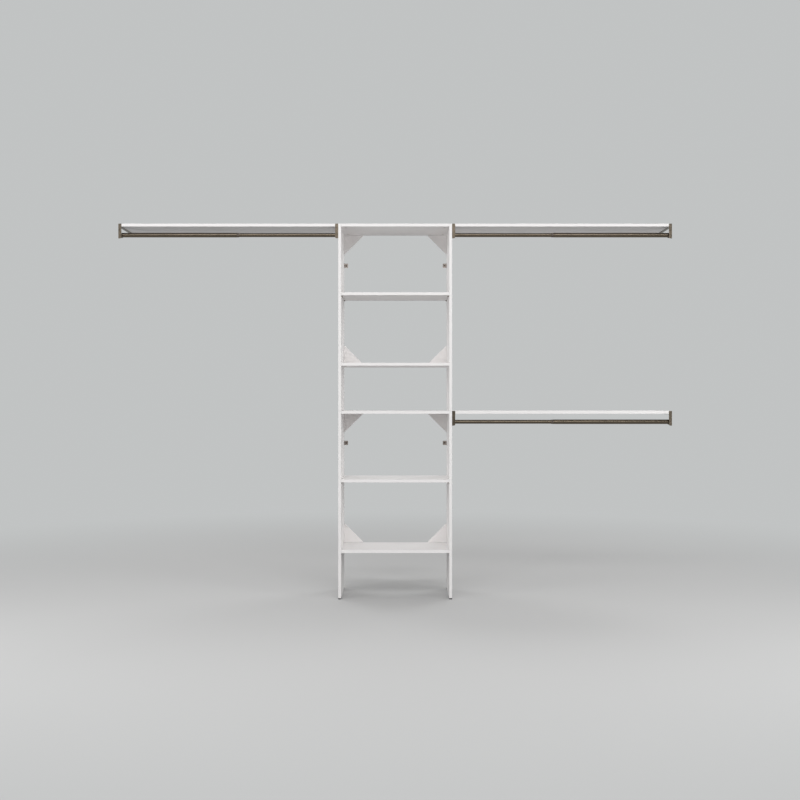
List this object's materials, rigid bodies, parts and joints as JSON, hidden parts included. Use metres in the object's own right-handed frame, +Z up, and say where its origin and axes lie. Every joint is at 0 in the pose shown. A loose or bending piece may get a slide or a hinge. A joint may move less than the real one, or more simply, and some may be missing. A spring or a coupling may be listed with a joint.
{
  "type": "wall mounted closet system",
  "caption": "Closet shelving: a tall open shelf tower on feet, clipped to the wall, with long side shelves on rod brackets and telescoping hanging rods.",
  "frame": {"origin": "on the floor, under the middle of the tower's width and depth", "axes": "+X along the wall to the viewer's right, +Y from the open front to the wall, +Z up"},
  "size_m": [3.0876, 0.37, 2.0953],
  "materials": {
    "panel_laminate": "satin white laminate on particle board, white edge band",
    "shelf_laminate": "satin white laminate on particle board, white edge band",
    "gusset_laminate": "satin white laminate on particle board",
    "rod_metal": "satin bronze-tinted nickel on steel tube",
    "bracket_metal": "satin bronze coat on pressed steel",
    "bush_plastic": "brown nylon",
    "clip_steel": "plated pressed steel",
    "screw_steel": "dark plated steel",
    "pin_steel": "plated steel",
    "glide_plastic": "black moulded plastic",
    "dowel_wood": "beech"
  },
  "bodies": {
    "frame": {"lower_panel_left": "panel_laminate", "lower_panel_right": "panel_laminate", "upper_panel_left": "panel_laminate", "upper_panel_right": "panel_laminate", "lower_top_shelf": "shelf_laminate", "lower_fixed_shelf": "shelf_laminate", "upper_top_shelf": "shelf_laminate", "upper_fixed_shelf": "shelf_laminate", "upper_left_shelf": "shelf_laminate", "upper_right_shelf": "shelf_laminate", "lower_right_shelf": "shelf_laminate", "lower_top_gusset_left": "gusset_laminate", "lower_top_gusset_right": "gusset_laminate", "lower_fixed_gusset_left": "gusset_laminate", "lower_fixed_gusset_right": "gusset_laminate", "upper_top_gusset_left": "gusset_laminate", "upper_top_gusset_right": "gusset_laminate", "upper_fixed_gusset_left": "gusset_laminate", "upper_fixed_gusset_right": "gusset_laminate", "lower_shelf_pin_left_front": "pin_steel", "lower_shelf_pin_left_rear": "pin_steel", "lower_shelf_pin_right_front": "pin_steel", "lower_shelf_pin_right_rear": "pin_steel", "upper_shelf_pin_left_front": "pin_steel", "upper_shelf_pin_left_rear": "pin_steel", "upper_shelf_pin_right_front": "pin_steel", "upper_shelf_pin_right_rear": "pin_steel", "lower_wall_clip_left": "clip_steel", "lower_wall_clip_right": "clip_steel", "upper_wall_clip_left": "clip_steel", "upper_wall_clip_right": "clip_steel", "lower_wall_screw_left": "screw_steel", "lower_wall_screw_right": "screw_steel", "upper_wall_screw_left": "screw_steel", "upper_wall_screw_right": "screw_steel", "glide_left_front": "glide_plastic", "glide_left_rear": "glide_plastic", "glide_right_front": "glide_plastic", "glide_right_rear": "glide_plastic", "stacking_dowel_left_front": "dowel_wood", "stacking_dowel_left_rear": "dowel_wood", "stacking_dowel_right_front": "dowel_wood", "stacking_dowel_right_rear": "dowel_wood", "upper_left_bracket_tower": "bracket_metal", "upper_left_bracket_wall": "bracket_metal", "upper_right_bracket_tower": "bracket_metal", "upper_right_bracket_wall": "bracket_metal", "lower_right_bracket_tower": "bracket_metal", "lower_right_bracket_wall": "bracket_metal"},
    "upper_left_rod": {"upper_left_rod_outer": "rod_metal", "upper_left_rod_bush": "bush_plastic"},
    "upper_left_rod_tip": {"upper_left_rod_inner": "rod_metal"},
    "upper_right_rod": {"upper_right_rod_outer": "rod_metal", "upper_right_rod_bush": "bush_plastic"},
    "upper_right_rod_tip": {"upper_right_rod_inner": "rod_metal"},
    "lower_right_rod": {"lower_right_rod_outer": "rod_metal", "lower_right_rod_bush": "bush_plastic"},
    "lower_right_rod_tip": {"lower_right_rod_inner": "rod_metal"},
    "lower_loose_shelf": {"lower_adjustable_shelf": "shelf_laminate"},
    "upper_loose_shelf": {"upper_adjustable_shelf": "shelf_laminate"}
  },
  "joints": [
    {"name": "upper_left_rod_lift", "type": "slide", "parent": "frame", "child": "upper_left_rod", "axis": [0, 0, 1], "range_m": [0, 0.025]},
    {"name": "upper_left_rod_telescope", "type": "slide", "parent": "upper_left_rod", "child": "upper_left_rod_tip", "axis": [-1, 0, 0], "range_m": [0, 0.54]},
    {"name": "upper_right_rod_lift", "type": "slide", "parent": "frame", "child": "upper_right_rod", "axis": [0, 0, 1], "range_m": [0, 0.025]},
    {"name": "upper_right_rod_telescope", "type": "slide", "parent": "upper_right_rod", "child": "upper_right_rod_tip", "axis": [1, 0, 0], "range_m": [0, 0.54]},
    {"name": "lower_right_rod_lift", "type": "slide", "parent": "frame", "child": "lower_right_rod", "axis": [0, 0, 1], "range_m": [0, 0.025]},
    {"name": "lower_right_rod_telescope", "type": "slide", "parent": "lower_right_rod", "child": "lower_right_rod_tip", "axis": [1, 0, 0], "range_m": [0, 0.54]},
    {"name": "lower_shelf_draw", "type": "slide", "parent": "frame", "child": "lower_loose_shelf", "axis": [0, -1, 0], "range_m": [0, 0.36]},
    {"name": "upper_shelf_draw", "type": "slide", "parent": "frame", "child": "upper_loose_shelf", "axis": [0, -1, 0], "range_m": [0, 0.36]}
  ]
}
